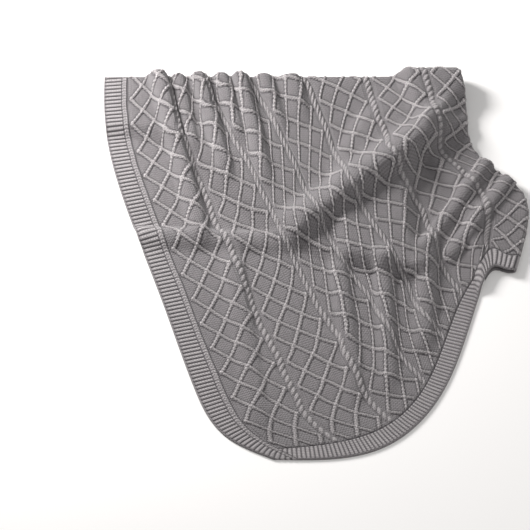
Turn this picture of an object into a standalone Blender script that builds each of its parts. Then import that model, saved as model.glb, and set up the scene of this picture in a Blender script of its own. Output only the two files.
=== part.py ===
# Cable knit throw, laid out loosely on a flat surface with its far corner folded under.
# Every piece is drawn in flat cloth coordinates: s across the wales from the left border,
# t along them from the near hem, both in metres. One mapping then lays the cloth.
import math

import bpy
import numpy as np
from mathutils import Vector
from mathutils.geometry import delaunay_2d_cdt

# Cut size of the throw and of its pieces
WIDTH = 1.27
LENGTH = 1.52
THICKNESS = 0.004
SEAM_GAP = 0.0003
RIB_STRIP = 0.052
LINK_BAND = 0.015
BORDER = RIB_STRIP + LINK_BAND
HEM = 0.055

# Knit pattern
PANELS = 7
HALF_DIAMOND = 0.0325
ROW_STEP = 0.043
LINES_PER_PANEL = 4
ROPE_SPACE = 0.034
MARGIN = (WIDTH - 2 * BORDER - PANELS * LINES_PER_PANEL * HALF_DIAMOND - (PANELS - 1) * ROPE_SPACE) / 2
PANEL_STEP = LINES_PER_PANEL * HALF_DIAMOND + ROPE_SPACE
RIB_PITCH = 0.0125
CABLE_HEIGHT = 0.003
CABLE_FOOT = 0.0055
ROPE_HEIGHT = 0.004
ROPE_FOOT = 0.0075
ROPE_STEP = 0.018
RIB_DEPTH = 0.002

# How the cloth lies. A row of this table is a line across the cloth at one distance t from
# the near hem, with the floor place of five points spaced evenly from the left border to
# the right turn. Past the top turn the places run on as if the cloth lay open.
LAY_COLUMNS = ("t", "left", "left_mid", "middle", "right_mid", "right")
LAY_ROWS = (
    (0.00, (-0.081, 0.030), (0.173, 0.062), (0.340, 0.268), (0.423, 0.530), (0.508, 0.630)),
    (0.12, (-0.190, 0.096), (0.128, 0.172), (0.268, 0.362), (0.360, 0.630), (0.532, 0.740)),
    (0.30, (-0.272, 0.250), (0.055, 0.336), (0.176, 0.510), (0.290, 0.780), (0.535, 0.880)),
    (0.60, (-0.352, 0.530), (-0.082, 0.605), (0.020, 0.765), (0.178, 1.030), (0.412, 1.040)),
    (0.90, (-0.438, 0.820), (-0.222, 0.872), (-0.100, 1.030), (0.070, 1.280), (0.378, 1.290)),
    (1.20, (-0.502, 1.115), (-0.345, 1.145), (-0.232, 1.285), (-0.040, 1.520), (0.245, 1.570)),
    (1.52, (-0.500, 1.420), (-0.360, 1.440), (-0.225, 1.570), (-0.020, 1.790), (0.260, 1.900)),
)
TURN_Y = 1.275
TURN_RADIUS = 0.008
STRIP_UNDER = 0.130
LAYER_RISE = 0.014
RISE_EASE = 0.050
TURN_EASE = 0.140
STRIP_EASE = 0.050

# Folds: a soft crest from its head to its foot on the floor plan, with its height at both
# ends and its half width on either side. The crest fades out past both ends.
FOLD_COLUMNS = ("head", "foot", "head_height", "foot_height", "left_width", "right_width", "fade")
FOLDS = (
    ((-0.386, 1.36), (-0.268, 0.800), 0.030, 0.020, 0.040, 0.031, 0.10),
    ((-0.334, 1.36), (-0.288, 1.080), 0.016, 0.010, 0.024, 0.023, 0.08),
    ((-0.284, 1.36), (-0.208, 1.000), 0.024, 0.015, 0.030, 0.027, 0.10),
    ((-0.230, 1.36), (-0.176, 1.120), 0.021, 0.012, 0.027, 0.026, 0.08),
    ((-0.180, 1.36), (-0.110, 0.990), 0.024, 0.015, 0.030, 0.028, 0.10),
    ((-0.126, 1.36), (-0.072, 1.150), 0.019, 0.010, 0.027, 0.026, 0.08),
    ((-0.046, 1.36), (-0.014, 1.180), 0.017, 0.009, 0.050, 0.027, 0.08),
    ((0.330, 1.090), (0.010, 0.800), 0.041, 0.036, 0.095, 0.055, 0.12),
    ((0.452, 0.985), (0.300, 0.735), 0.017, 0.012, 0.034, 0.030, 0.06),
    ((0.500, 0.920), (0.360, 0.700), 0.014, 0.013, 0.034, 0.030, 0.06),
    ((-0.400, 0.758), (-0.040, 0.738), 0.014, 0.011, 0.060, 0.042, 0.06),
    ((0.300, 0.690), (0.290, 0.430), 0.024, 0.014, 0.044, 0.036, 0.08),
    ((0.190, 0.640), (0.200, 0.300), 0.019, 0.011, 0.036, 0.034, 0.08),
    ((0.080, 0.640), (0.115, 0.260), 0.016, 0.009, 0.036, 0.038, 0.08),
    ((-0.180, 0.650), (-0.120, 0.180), 0.014, 0.008, 0.050, 0.040, 0.10),
)
CREST_ROUNDING = 0.05

# The near hem is drawn up here into the small notch beside its turned corner
NOTCH_PLACE = (0.455, 0.650)
NOTCH_RISE = 0.055
NOTCH_WIDTH = 0.035
NOTCH_DEPTH = 0.090
NOTCH_BACK = 0.020

# The base centre of the laid cloth in the plan's own numbers
ORIGIN = (0.02153, 0.66485)

TURN_S = WIDTH - STRIP_UNDER
SIDE_RADIUS = (LAYER_RISE - THICKNESS) / 2
SIDE_TURN = math.pi * (SIDE_RADIUS + THICKNESS / 2)
LAID_STEPS = 240
ROW_COUNT = 77
OUTLINE_STEPS = 40
STRIP_SLACK = 0.010
SIDE_PROBE = 0.004
NORMAL_STEP = 0.0008
GREY = (0.30, 0.285, 0.285, 1.0)


def smooth_step(x):
    x = np.clip(x, 0.0, 1.0)
    return x * x * (3.0 - 2.0 * x)


def spline_basis(knots, at):
    # Natural cubic spline through unit values: one column for each knot
    knots = np.asarray(knots, float)
    count = len(knots)
    gap = np.diff(knots)
    system = np.eye(count)
    right = np.zeros((count, count))
    for i in range(1, count - 1):
        system[i, i - 1:i + 2] = gap[i - 1], 2 * (gap[i - 1] + gap[i]), gap[i]
        right[i, i - 1:i + 2] = 6 / gap[i - 1], -6 / gap[i - 1] - 6 / gap[i], 6 / gap[i]
    bend = np.linalg.solve(system, right)
    at = np.asarray(at, float)
    k = np.clip(np.searchsorted(knots, at) - 1, 0, count - 2)
    span = gap[k]
    a = (knots[k + 1] - at) / span
    b = (at - knots[k]) / span
    rows = np.arange(len(at))
    out = np.zeros((len(at), count))
    out[rows, k] += a
    out[rows, k + 1] += b
    out += ((a ** 3 - a) * span ** 2 / 6)[:, None] * bend[k]
    out += ((b ** 3 - b) * span ** 2 / 6)[:, None] * bend[k + 1]
    return out


def open_plan(u, t):
    # Floor place of the cloth as if its far part lay open: u is 0 at the left, 1 at the right turn
    rows = spline_basis([row[0] for row in LAY_ROWS], t)
    columns = spline_basis(np.linspace(0, 1, len(LAY_COLUMNS) - 1), u)
    net = np.array([row[1:] for row in LAY_ROWS], float)
    plan = np.einsum("nr,nc,rck->nk", rows, columns, net)
    x, y = plan[:, 0], plan[:, 1]
    near = np.exp(-((x - NOTCH_PLACE[0]) / NOTCH_WIDTH) ** 2)
    near = near * np.exp(-(np.maximum(y - NOTCH_PLACE[1], -NOTCH_BACK) / NOTCH_DEPTH) ** 2)
    return x, y + NOTCH_RISE * near


def inside_distance(x, y, outline):
    # Distance to a closed outline on the floor, above zero inside it
    best = np.full(x.shape, np.inf)
    crossings = np.zeros(x.shape, int)
    for (ax, ay), (bx, by) in zip(outline, np.roll(outline, -1, axis=0)):
        square = (bx - ax) ** 2 + (by - ay) ** 2
        if square == 0:
            continue
        along = np.clip(((x - ax) * (bx - ax) + (y - ay) * (by - ay)) / square, 0, 1)
        best = np.minimum(best, np.hypot(x - ax - along * (bx - ax), y - ay - along * (by - ay)))
        spans = (ay > y) != (by > y)
        if by != ay:
            crossings += spans & (x < (bx - ax) * (y - ay) / (by - ay) + ax)
    return np.where(crossings % 2 == 1, best, -best)


def under_outline(u_start):
    # Floor outline of the part that lies folded under, from column u_start to the right turn
    steps = np.linspace(0, 1, OUTLINE_STEPS)
    edges = []
    for u, t in ((np.full(OUTLINE_STEPS, u_start), steps * LENGTH),
                 (u_start + (1 - u_start) * steps, np.full(OUTLINE_STEPS, LENGTH)),
                 (np.ones(OUTLINE_STEPS), LENGTH * (1 - steps))):
        x, y = open_plan(u, t)
        past = y > TURN_Y
        edges.append(np.column_stack((x[past], 2 * TURN_Y - y[past])))
    return np.vstack(edges)


def lift_of_strip(s):
    # Rise of the cloth over the border strip that is turned under it at the right
    return LAYER_RISE * smooth_step((s - TURN_S + STRIP_UNDER + STRIP_EASE) / STRIP_EASE)


FLAP = under_outline(0.0)
FLAP_STRIP = under_outline(1 - (STRIP_UNDER + STRIP_SLACK) / TURN_S)


def base_height(x, y, total):
    # Height of the upper layer: over the folded part, and up to the loose turn at the top
    over = LAYER_RISE * smooth_step(1 + inside_distance(x, y, FLAP) / RISE_EASE)
    over = over + LAYER_RISE * smooth_step(1 + inside_distance(x, y, FLAP_STRIP) / RISE_EASE)
    turn = smooth_step(1 - (TURN_Y - y) / TURN_EASE)
    return over + (total + 2 * TURN_RADIUS - over) * turn


def fold_shift(x, y):
    # Height of all folds at a floor place, and the sideways push that rounds their crests
    high = np.zeros(x.shape)
    push_x = np.zeros(x.shape)
    push_y = np.zeros(x.shape)
    for row in FOLDS:
        fold = dict(zip(FOLD_COLUMNS, row))
        head, foot, fade = fold["head"], fold["foot"], fold["fade"]
        run = np.hypot(foot[0] - head[0], foot[1] - head[1])
        way = ((foot[0] - head[0]) / run, (foot[1] - head[1]) / run)
        along = (x - head[0]) * way[0] + (y - head[1]) * way[1]
        side = -(x - head[0]) * way[1] + (y - head[1]) * way[0]
        width = np.where(side > 0, fold["right_width"], fold["left_width"])
        share = np.clip(side / width, -1, 1)
        ends = smooth_step((along + fade) / fade) * smooth_step((run + fade - along) / fade)
        drop = fold["head_height"] - fold["foot_height"]
        height = fold["head_height"] - drop * np.clip(along / run, 0, 1)
        high += height * ends * (1 + np.cos(math.pi * share)) / 2
        push = CREST_ROUNDING * min(fold["left_width"], fold["right_width"]) * height / fold["head_height"]
        push = push * ends * np.sin(2 * math.pi * share)
        push_x += -way[1] * push
        push_y += way[0] * push
    return high, push_x, push_y


def turned(u, t, lift, total):
    # Place of the cloth's underside: u and t on the open plan, lift above the lowest layer
    x, y = open_plan(u, t)
    radius = TURN_RADIUS + lift
    path = radius + THICKNESS / 2
    angle = np.clip((y - TURN_Y) / path, 0, math.pi)
    upper = y <= TURN_Y
    under = y > TURN_Y + math.pi * path
    flat_y = np.where(upper, y, TURN_Y + radius * np.sin(angle))
    flat_y = np.where(under, 2 * TURN_Y + math.pi * path - y, flat_y)
    z = np.where(upper, base_height(x, flat_y, total) + lift,
                 total + TURN_RADIUS + radius * np.cos(angle))
    z = np.where(under, total - lift, z)
    high, push_x, push_y = fold_shift(x, flat_y)
    return np.column_stack((x + push_x, flat_y + push_y, z + high))


def row_table():
    # Even spacing along each line across the cloth, measured over its folds
    us = np.linspace(0, 1, LAID_STEPS + 1)
    ts = np.linspace(0, LENGTH, ROW_COUNT)
    table = np.zeros((ROW_COUNT, LAID_STEPS + 1))
    for i, t in enumerate(ts):
        lift = lift_of_strip(us * TURN_S)
        points = turned(us, np.full(us.shape, t), lift, lift + THICKNESS)
        steps = np.linalg.norm(np.diff(points, axis=0), axis=1)
        run = np.concatenate(([0], np.cumsum(steps)))
        table[i] = np.interp(us * run[-1], run, us)
    return table


ROWS = row_table()


def even_place(s, t):
    # Reads the table with a smooth curve through its values in both directions
    def taps(x, count):
        k = np.clip(np.floor(x).astype(int), 0, count - 2)
        f = x - k
        weights = (-f / 2 + f ** 2 - f ** 3 / 2, 1 - 2.5 * f ** 2 + 1.5 * f ** 3,
                   f / 2 + 2 * f ** 2 - 1.5 * f ** 3, -f ** 2 / 2 + f ** 3 / 2)
        return [(np.clip(k + j - 1, 0, count - 1), w) for j, w in enumerate(weights)]
    total = np.zeros(s.shape)
    across = taps(np.clip(s / TURN_S, 0, 1) * LAID_STEPS, LAID_STEPS + 1)
    along = taps(np.clip(t / LENGTH, 0, 1) * (ROW_COUNT - 1), ROW_COUNT)
    for row, row_weight in along:
        for column, column_weight in across:
            total += row_weight * column_weight * ROWS[row, column]
    return np.clip(total, 0, 1)


def side_turned(s):
    # The right strip turns under about a tight radius and lies below the rest
    angle = np.clip((s - TURN_S) / SIDE_TURN, 0, 1) * math.pi
    flat_s = np.minimum(s, TURN_S) - np.maximum(s - TURN_S - SIDE_TURN, 0)
    reach = SIDE_RADIUS * np.sin(angle)
    lift = np.where(s <= TURN_S, lift_of_strip(flat_s), THICKNESS + SIDE_RADIUS * (1 + np.cos(angle)))
    return flat_s, lift, reach


def underside(s, t):
    # Place of the cloth's underside for points in flat cloth coordinates
    flat_s, lift, reach = side_turned(s)
    total = THICKNESS + lift_of_strip(flat_s)
    u = even_place(flat_s, t)
    place = turned(u, t, lift, total)
    inner = turned(np.maximum(u - SIDE_PROBE, 0), t, lift, total)
    outward = place - inner
    outward /= np.maximum(np.linalg.norm(outward, axis=1), np.finfo(float).tiny)[:, None]
    return place + outward * reach[:, None]


def lay(s, t, height):
    # Lays cloth points, lifted by height square to the cloth
    s, t, height = (np.asarray(v, float) for v in (s, t, height))
    place = underside(s, t)
    over_s = underside(s + NORMAL_STEP, t) - underside(s - NORMAL_STEP, t)
    over_t = underside(s, t + NORMAL_STEP) - underside(s, t - NORMAL_STEP)
    normal = np.cross(over_s, over_t)
    normal /= np.linalg.norm(normal, axis=1)[:, None]
    place = place + normal * height[:, None]
    place[:, 0] -= ORIGIN[0]
    place[:, 1] -= ORIGIN[1]
    return place


# Sampling of the faces: a coarse net everywhere, closer where the cloth bends. Clearances
# keep net points off the relief points, and margins keep the relief off a piece's edges.
NET_S = 0.0275
NET_T = 0.036
TURN_LINES = 4
SIDE_TURN_LINES = 3
TURN_CLEARANCE = 0.0045
BEND_LIMIT = 0.0024
UPPER_CLEARANCE = 0.0150
LOWER_CLEARANCE = 0.0095
EDGE_CLEARANCE_SHARE = 0.8
LOOSE_BEND = 1.5 * BEND_LIMIT
EDGE_SPLIT = 0.005
EDGE_GAP = 0.0035
RELIEF_MARGIN = 0.004
FLOOR_MARGIN = 0.003
RIB_MARGIN = 0.002
RIB_START = 0.003
RIB_END = 0.001
HEM_RIB_END = 0.004
TRIANGULATION_GAP = 1e-7


def turn_t(s, share):
    # Distance t at which column s has gone the given share of the way round the top turn
    ts = np.linspace(0, LENGTH, 2 * ROW_COUNT)
    flat_s, lift = side_turned(np.full(ts.shape, s))[:2]
    y = open_plan(even_place(flat_s, ts), ts)[1]
    target = TURN_Y + share * math.pi * (TURN_RADIUS + lift + THICKNESS / 2)
    return float(np.interp(0, y - target, ts))


def turn_columns():
    # The top turn, column by column: where it starts and ends along the cloth
    columns = np.append(np.arange(0, WIDTH, NET_S), (TURN_S, TURN_S + SIDE_TURN, WIDTH))
    columns.sort()
    return columns, np.array([[turn_t(s, k / TURN_LINES) for k in range(TURN_LINES + 1)] for s in columns])


TURN_COLUMNS, TURN_TS = turn_columns()


def turn_share_t(s, k):
    return np.interp(s, TURN_COLUMNS, TURN_TS[:, k])


def on_show(s, t):
    # True where the face lies open to the eye: before the top turn and left of the side turn
    return (s < TURN_S - RELIEF_MARGIN) & (t < turn_share_t(s, 0) - RELIEF_MARGIN)


def bend_at(s, t, step_s, step_t):
    # How far the cloth leaves a straight line over one step either way, across and along
    s, t = np.asarray(s, float), np.asarray(t, float)
    middle = underside(s, t)
    across = (underside(s - step_s, t) + underside(s + step_s, t)) / 2 - middle
    along = (underside(s, t - step_t) + underside(s, t + step_t)) / 2 - middle
    return np.linalg.norm(across, axis=1), np.linalg.norm(along, axis=1)


class Face:
    # Points of one face of a piece, in cloth coordinates, with the creases that join them
    def __init__(self, s_low, s_high, t_low, t_high):
        self.box = (s_low, s_high, t_low, t_high)
        self.points = []
        self.heights = []
        self.creases = []

    def add(self, s, t, height=0.0):
        self.points.append((s, t))
        self.heights.append(height)
        return len(self.points) - 1

    def inside(self, s, t, edge):
        s_low, s_high, t_low, t_high = self.box
        return s_low + edge < s < s_high - edge and t_low + edge < t < t_high - edge

    def add_clear(self, candidates, clearance):
        # Adds plain points that keep clear of the ones already there and of the edge
        grid = {}
        for s, t in self.points:
            grid.setdefault((int(s // clearance), int(t // clearance)), []).append((s, t))
        for s, t in candidates:
            if not self.inside(s, t, clearance * EDGE_CLEARANCE_SHARE):
                continue
            i, j = int(s // clearance), int(t // clearance)
            near = (q for a in (-1, 0, 1) for b in (-1, 0, 1) for q in grid.get((i + a, j + b), ()))
            if all(math.hypot(s - q[0], t - q[1]) > clearance for q in near):
                self.add(s, t, None)
                grid.setdefault((i, j), []).append((s, t))


def seam_line(value):
    # The middle of the seam that an edge lies on, so that both pieces along it bend alike
    for line in (BORDER, WIDTH - BORDER, HEM, LENGTH - HEM):
        if abs(value - line) < SEAM_GAP:
            return line
    return value


def edge_loop(s_low, s_high, t_low, t_high):
    # Edge points of a piece, counter-clockwise, closer together round the turns
    def line(fixed, low, high, along_t):
        fixed = seam_line(fixed)
        if along_t:
            marks = [HEM, LENGTH - HEM] + list(np.arange(NET_T, LENGTH, NET_T))
            marks += [float(turn_share_t(fixed, k)) for k in range(TURN_LINES + 1)]
        else:
            marks = [BORDER, WIDTH - BORDER] + list(np.arange(NET_S, WIDTH, NET_S))
            marks += [TURN_S + SIDE_TURN * k / SIDE_TURN_LINES for k in range(SIDE_TURN_LINES + 1)]
        marks = [m for m in marks if low + SEAM_GAP < m < high - SEAM_GAP]
        base = [low] + sorted(marks) + [high]
        starts, ends = np.array(base[:-1]), np.array(base[1:])
        middles, steps = (starts + ends) / 2, (ends - starts) / 2
        others = np.full(middles.shape, fixed)
        places = (others, middles) if along_t else (middles, others)
        off = bend_at(*places, steps, steps)[1 if along_t else 0]
        split = (off > BEND_LIMIT) & (steps > EDGE_SPLIT)
        fine = sorted(base + list(middles[split]))
        kept = [fine[0]]
        for m in fine[1:-1]:
            if m - kept[-1] > EDGE_GAP and high - m > EDGE_GAP:
                kept.append(m)
        return kept
    bottom = [(s, t_low) for s in line(t_low, s_low, s_high, False)]
    right = [(s_high, t) for t in line(s_high, t_low, t_high, True)]
    top = [(s, t_high) for s in reversed(line(t_high, s_low, s_high, False) + [s_high]) if s > s_low]
    left = [(s_low, t) for t in reversed(line(s_low, t_low, t_high, True) + [t_high]) if t > t_low]
    return bottom + right + top + left


def turn_candidates():
    # Lines of points round the side turn, then round the top turn
    found = []
    for k in range(SIDE_TURN_LINES + 1):
        for t in np.arange(0, LENGTH, NET_T):
            found.append((TURN_S + SIDE_TURN * k / SIDE_TURN_LINES, t))
    columns = np.arange(0, WIDTH, NET_S / 2)
    starts = turn_share_t(columns, 0)
    across, along = bend_at(columns, starts, NET_S / 2, NET_T / 2)
    for i, s in enumerate(columns):
        if i % 2 == 0 or across[i] > BEND_LIMIT:
            found += [(s, float(turn_share_t(s, k))) for k in range(TURN_LINES + 1)]
    return found


def net_candidates(box):
    # Points of the plain net, closer where the cloth bends
    s_low, s_high, t_low, t_high = box
    found = []
    net_s, net_t = np.meshgrid(np.arange(0, WIDTH, NET_S), np.arange(0, LENGTH, NET_T))
    net_s, net_t = net_s.ravel(), net_t.ravel()
    across, along = bend_at(net_s, net_t, NET_S, NET_T)
    even = (np.round(net_s / NET_S) % 2 == 0) & (np.round(net_t / NET_T) % 2 == 0)
    wanted = even | (np.maximum(across, along) > LOOSE_BEND)
    found += list(zip(net_s[wanted], net_t[wanted]))
    half_s, half_t = net_s + NET_S / 2, net_t
    across, along = bend_at(half_s, half_t, NET_S / 2, NET_T / 2)
    found += list(zip(half_s[across > BEND_LIMIT], half_t[across > BEND_LIMIT]))
    across, along = bend_at(net_s, net_t + NET_T / 2, NET_S / 2, NET_T / 2)
    wanted = along > BEND_LIMIT
    found += list(zip(net_s[wanted], net_t[wanted] + NET_T / 2))
    return [p for p in found if s_low < p[0] < s_high and t_low < p[1] < t_high]


def lattice(face):
    # Travelling cables of one panel: sharp crests from crossing to crossing, flat floors between
    reach = 1 - CABLE_FOOT * math.hypot(1 / HALF_DIAMOND, 1 / ROW_STEP)
    rows = int(LENGTH / ROW_STEP)
    for panel in range(PANELS):
        start = BORDER + MARGIN + panel * PANEL_STEP
        nodes = {}
        for j in range(1, rows):
            for i in range(LINES_PER_PANEL + 1):
                s, t = start + i * HALF_DIAMOND, j * ROW_STEP
                if not on_show(s, t) or not face.inside(s, t, RELIEF_MARGIN):
                    continue
                if (i + j) % 2 == 0:
                    nodes[i, j] = face.add(s, t, CABLE_HEIGHT)
                    side = -1 if i == 0 else 1
                    if i in (0, LINES_PER_PANEL) and face.inside(s + side * CABLE_FOOT, t, RIB_MARGIN):
                        face.add(s + side * CABLE_FOOT, t)
                elif i in (0, LINES_PER_PANEL):
                    face.add(s, t)
                else:
                    floor = [(s + reach * HALF_DIAMOND, t), (s, t + reach * ROW_STEP),
                             (s - reach * HALF_DIAMOND, t), (s, t - reach * ROW_STEP)]
                    if all(face.inside(a, b, FLOOR_MARGIN) for a, b in floor):
                        ring = [face.add(a, b) for a, b in floor]
                        face.creases += list(zip(ring, ring[1:] + ring[:1]))
        for (i, j), node in nodes.items():
            for other in ((i - 1, j + 1), (i + 1, j + 1)):
                if other in nodes:
                    face.creases.append((node, nodes[other]))


def ropes(face):
    # Rope cable between two panels: its crest rises and falls once for every second crossing
    for gap in range(1, PANELS):
        s = BORDER + MARGIN + gap * PANEL_STEP - ROPE_SPACE / 2
        last = None
        for k in range(1, int(LENGTH / ROPE_STEP)):
            t = k * ROPE_STEP
            if not on_show(s, t) or not face.inside(s, t, RELIEF_MARGIN):
                last = None
                continue
            high = k % 2 == 0
            crest = face.add(s, t, ROPE_HEIGHT if high else ROPE_HEIGHT / 2)
            if last is not None:
                face.creases.append((last, crest))
            last = crest
            face.add(s + (ROPE_FOOT if high else -ROPE_FOOT), t)


def ribs(face, along_t, low, high, start, end):
    # Ribs square to an edge: each is a crest between two grooves, running from low to high
    lines = int((end - start) / (RIB_PITCH / 2))
    for k in range(1, lines):
        place = start + k * RIB_PITCH / 2
        ends = [(low, place), (high, place)] if along_t else [(place, low), (place, high)]
        if all(on_show(s, t) and face.inside(s, t, RIB_MARGIN) for s, t in ends):
            height = RIB_DEPTH if k % 2 else 0.0
            a, b = (face.add(s, t, height) for s, t in ends)
            face.creases.append((a, b))


def link_band(face):
    # The plain raised band between the ribs and the panel
    middle = BORDER - LINK_BAND / 2
    last = None
    for t in np.arange(NET_T / 2, LENGTH, NET_T / 2):
        if on_show(middle, t) and face.inside(middle, t, RELIEF_MARGIN):
            crest = face.add(middle, t, RIB_DEPTH)
            if last is not None:
                face.creases.append((last, crest))
            last = crest


def triangles(face, loop):
    # Triangles over the points of a face, keeping its creases and its edge
    count = len(face.points)
    points = [Vector(p) for p in face.points + loop]
    edge = [(count + i, count + (i + 1) % len(loop)) for i in range(len(loop))]
    out = delaunay_2d_cdt(points, face.creases + edge, [], 0, TRIANGULATION_GAP, True)
    order = [ids[0] for ids in out[3]]
    return [[order[i] for i in f] for f in out[2]]


def fill_heights(face, tris):
    # A plain net point takes the lowest height among the relief points that it is joined to
    around = {}
    for tri in tris:
        for i in tri:
            around.setdefault(i, set()).update(tri)
    known = list(face.heights)
    for i, height in enumerate(known):
        if height is None:
            near = [known[j] for j in around[i] if j < len(known) and known[j] is not None]
            face.heights[i] = min(near, default=0.0)


def make_piece(name, box, relief, collection, colour):
    loop = edge_loop(*box)
    upper = Face(*box)
    relief(upper)
    net = net_candidates(box)
    turns = turn_candidates()
    upper.add_clear(turns, TURN_CLEARANCE)
    upper.add_clear(net, LOWER_CLEARANCE if relief is plain else UPPER_CLEARANCE)
    lower = Face(*box)
    lower.add_clear(turns, TURN_CLEARANCE)
    lower.add_clear(net, LOWER_CLEARANCE)
    upper_tris = triangles(upper, loop)
    fill_heights(upper, upper_tris)
    lower_tris = triangles(lower, loop)
    rim = len(loop)
    upper_count, lower_count = len(upper.points), len(lower.points)
    plan = upper.points + loop + lower.points + loop
    heights = [THICKNESS + h for h in upper.heights] + [THICKNESS] * rim + [0.0] * (lower_count + rim)
    places = lay([p[0] for p in plan], [p[1] for p in plan], heights)
    low_start = upper_count + rim
    faces = [tuple(tri) for tri in upper_tris]
    faces += [tuple(low_start + i for i in reversed(tri)) for tri in lower_tris]
    for i in range(rim):
        j = (i + 1) % rim
        a, b = upper_count + i, upper_count + j
        c, d = low_start + lower_count + j, low_start + lower_count + i
        # Both pieces along a seam split their walls on the same slant
        faces += [(a, d, c), (a, c, b)] if loop[j] > loop[i] else [(a, d, b), (b, d, c)]
    mesh = bpy.data.meshes.new(name)
    mesh.from_pydata([tuple(p) for p in places], [], faces)
    mesh.update()
    piece = bpy.data.objects.new(name, mesh)
    piece.data.materials.append(yarn(name + "_yarn", colour))
    collection.objects.link(piece)
    print(name, "triangles", len(faces))
    return piece


def yarn(name, colour):
    material = bpy.data.materials.new(name)
    material.use_nodes = True
    shader = material.node_tree.nodes["Principled BSDF"]
    shader.inputs["Base Color"].default_value = colour
    shader.inputs["Roughness"].default_value = 0.9
    shader.inputs["Metallic"].default_value = 0.0
    return material


def panel_relief(face):
    lattice(face)
    ropes(face)


def left_relief(face):
    ribs(face, True, RIB_START, RIB_STRIP - RIB_END, 0.0, LENGTH)
    link_band(face)


def hem_relief(face):
    ribs(face, False, RIB_START, HEM - HEM_RIB_END, BORDER, WIDTH - BORDER)


def plain(face):
    return


def clear_scene():
    for old in list(bpy.data.objects):
        bpy.data.objects.remove(old, do_unlink=True)


def main():
    clear_scene()
    collection = bpy.data.collections.new("cable_knit_throw")
    bpy.context.scene.collection.children.link(collection)
    seam = SEAM_GAP / 2
    field = (BORDER + seam, WIDTH - BORDER - seam, HEM + seam, LENGTH - HEM - seam)
    make_piece("panel", field, panel_relief, collection, GREY)
    make_piece("border_left", (0.0, BORDER - seam, 0.0, LENGTH), left_relief, collection, GREY)
    make_piece("border_right", (WIDTH - BORDER + seam, WIDTH, 0.0, LENGTH), plain, collection, GREY)
    make_piece("hem_near", (field[0], field[1], 0.0, HEM - seam), hem_relief, collection, GREY)
    make_piece("hem_far", (field[0], field[1], LENGTH - HEM + seam, LENGTH), plain, collection, GREY)


if __name__ == "__main__":
    main()
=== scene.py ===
import math

import bpy
import numpy as np
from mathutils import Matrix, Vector


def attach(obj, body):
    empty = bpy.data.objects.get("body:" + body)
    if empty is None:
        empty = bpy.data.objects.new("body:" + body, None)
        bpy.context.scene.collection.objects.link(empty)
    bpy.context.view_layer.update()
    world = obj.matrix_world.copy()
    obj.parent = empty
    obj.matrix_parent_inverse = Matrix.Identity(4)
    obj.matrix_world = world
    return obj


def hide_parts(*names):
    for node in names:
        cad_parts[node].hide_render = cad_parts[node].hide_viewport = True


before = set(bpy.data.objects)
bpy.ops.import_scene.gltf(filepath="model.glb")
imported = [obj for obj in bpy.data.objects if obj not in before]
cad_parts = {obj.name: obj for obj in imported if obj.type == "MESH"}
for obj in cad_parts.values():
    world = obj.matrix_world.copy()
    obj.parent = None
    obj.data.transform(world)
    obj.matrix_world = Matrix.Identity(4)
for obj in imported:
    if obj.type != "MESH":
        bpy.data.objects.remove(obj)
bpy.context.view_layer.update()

cloth = {
    "width": 1.27,
    "length": 1.52,
    "thickness": 0.004,
    "ribStrip": 0.052,
    "linkBand": 0.015,
    "hem": 0.055,
    "panels": 7,
    "halfDiamond": 0.0325,
    "rowStep": 0.043,
    "linesPerPanel": 4,
    "ropeSpace": 0.034,
    "ribPitch": 0.0125,
    "turnY": 1.275,
    "turnRadius": 0.008,
    "stripUnder": 0.130,
    "stripSlack": 0.01,
    "layerRise": 0.014,
    "riseEase": 0.050,
    "turnEase": 0.140,
    "stripEase": 0.050,
    "crestRounding": 0.05,
    "origin": (0.02153, 0.66485),
    "outwardStep": 0.004,
    "laidSteps": 240,
    "rowCount": 77,
    "outlineCount": 40,
    "turnCount": 42,
}
cloth["border"] = cloth["ribStrip"] + cloth["linkBand"]
cloth["panelStep"] = cloth["linesPerPanel"] * cloth["halfDiamond"] + cloth["ropeSpace"]
cloth["field"] = cloth["width"] - 2 * cloth["border"]
cloth["margin"] = (cloth["field"] - cloth["panels"] * cloth["panelStep"] + cloth["ropeSpace"]) / 2
cloth["turnS"] = cloth["width"] - cloth["stripUnder"]
cloth["sideRadius"] = (cloth["layerRise"] - cloth["thickness"]) / 2
cloth["sideTurn"] = math.pi * (cloth["sideRadius"] + cloth["thickness"] / 2)

# Lines across the cloth: distance t from the near hem, then the floor places of five
# points from the left border to the right turn
layRows = (
    (0.00, (-0.081, 0.030), (0.173, 0.062), (0.340, 0.268), (0.423, 0.530), (0.508, 0.630)),
    (0.12, (-0.190, 0.096), (0.128, 0.172), (0.268, 0.362), (0.360, 0.630), (0.532, 0.740)),
    (0.30, (-0.272, 0.250), (0.055, 0.336), (0.176, 0.510), (0.290, 0.780), (0.535, 0.880)),
    (0.60, (-0.352, 0.530), (-0.082, 0.605), (0.020, 0.765), (0.178, 1.030), (0.412, 1.040)),
    (0.90, (-0.438, 0.820), (-0.222, 0.872), (-0.100, 1.030), (0.070, 1.280), (0.378, 1.290)),
    (1.20, (-0.502, 1.115), (-0.345, 1.145), (-0.232, 1.285), (-0.040, 1.520), (0.245, 1.570)),
    (1.52, (-0.500, 1.420), (-0.360, 1.440), (-0.225, 1.570), (-0.020, 1.790), (0.260, 1.900)),
)

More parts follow.
